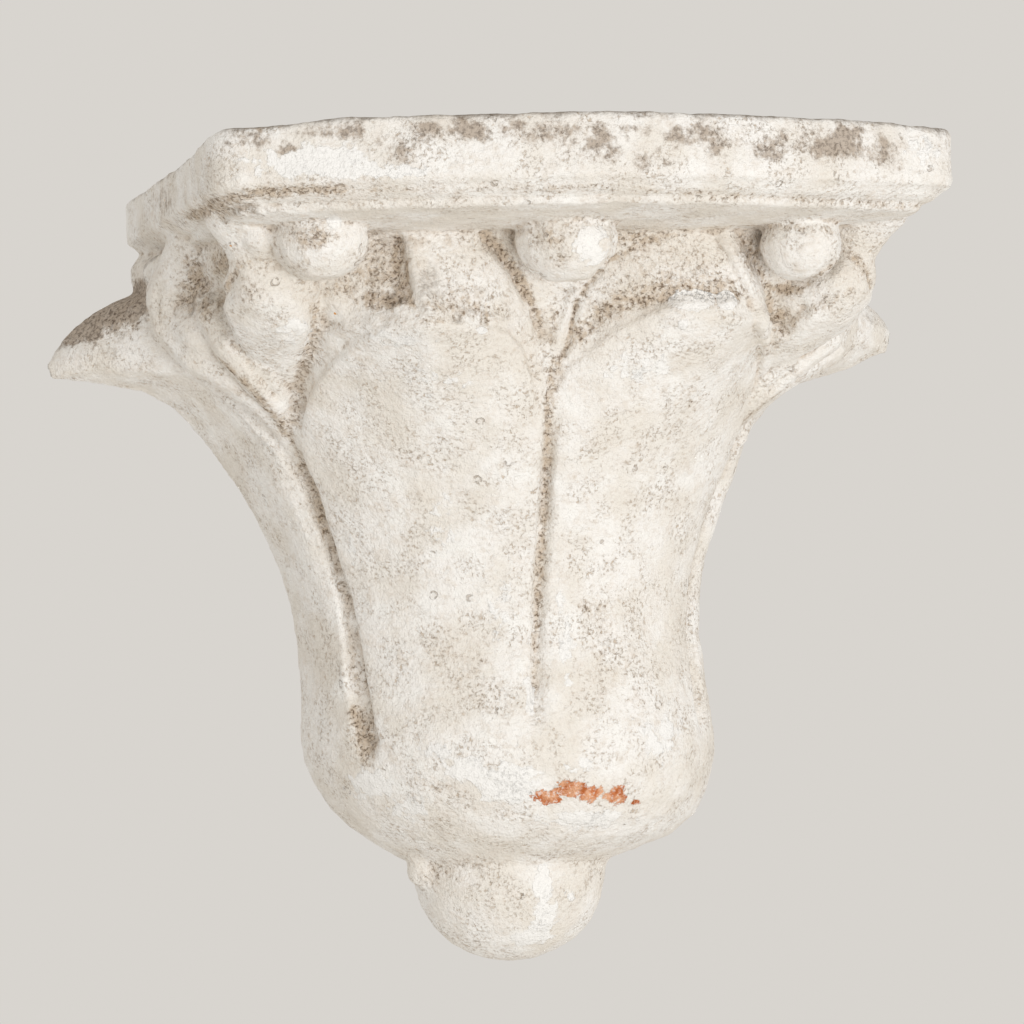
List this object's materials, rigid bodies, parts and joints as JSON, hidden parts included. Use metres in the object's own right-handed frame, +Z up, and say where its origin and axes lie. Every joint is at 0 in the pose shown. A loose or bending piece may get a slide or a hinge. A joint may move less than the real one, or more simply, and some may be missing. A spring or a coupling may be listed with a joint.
{
  "type": "wall corbel",
  "caption": "Wall corbel like half a capital: moulded bowed shelf over a bell wrapped in curling leaves, with beads under the shelf and a knob at the foot, limewashed terracotta.",
  "frame": {"origin": "on the flat back face where it meets the wall, on the middle line, 150 mm below the shelf's top", "axes": "+X along the wall to the right as seen from the front, +Y into the wall, +Z up"},
  "size_m": [0.3923, 0.225, 0.346],
  "materials": {
    "whitewashed terracotta": "matte brushed limewash over fired clay, pitted, dusty in the hollows"
  },
  "bodies": {
    "root": {"corbel": "whitewashed terracotta"}
  },
  "joints": []
}
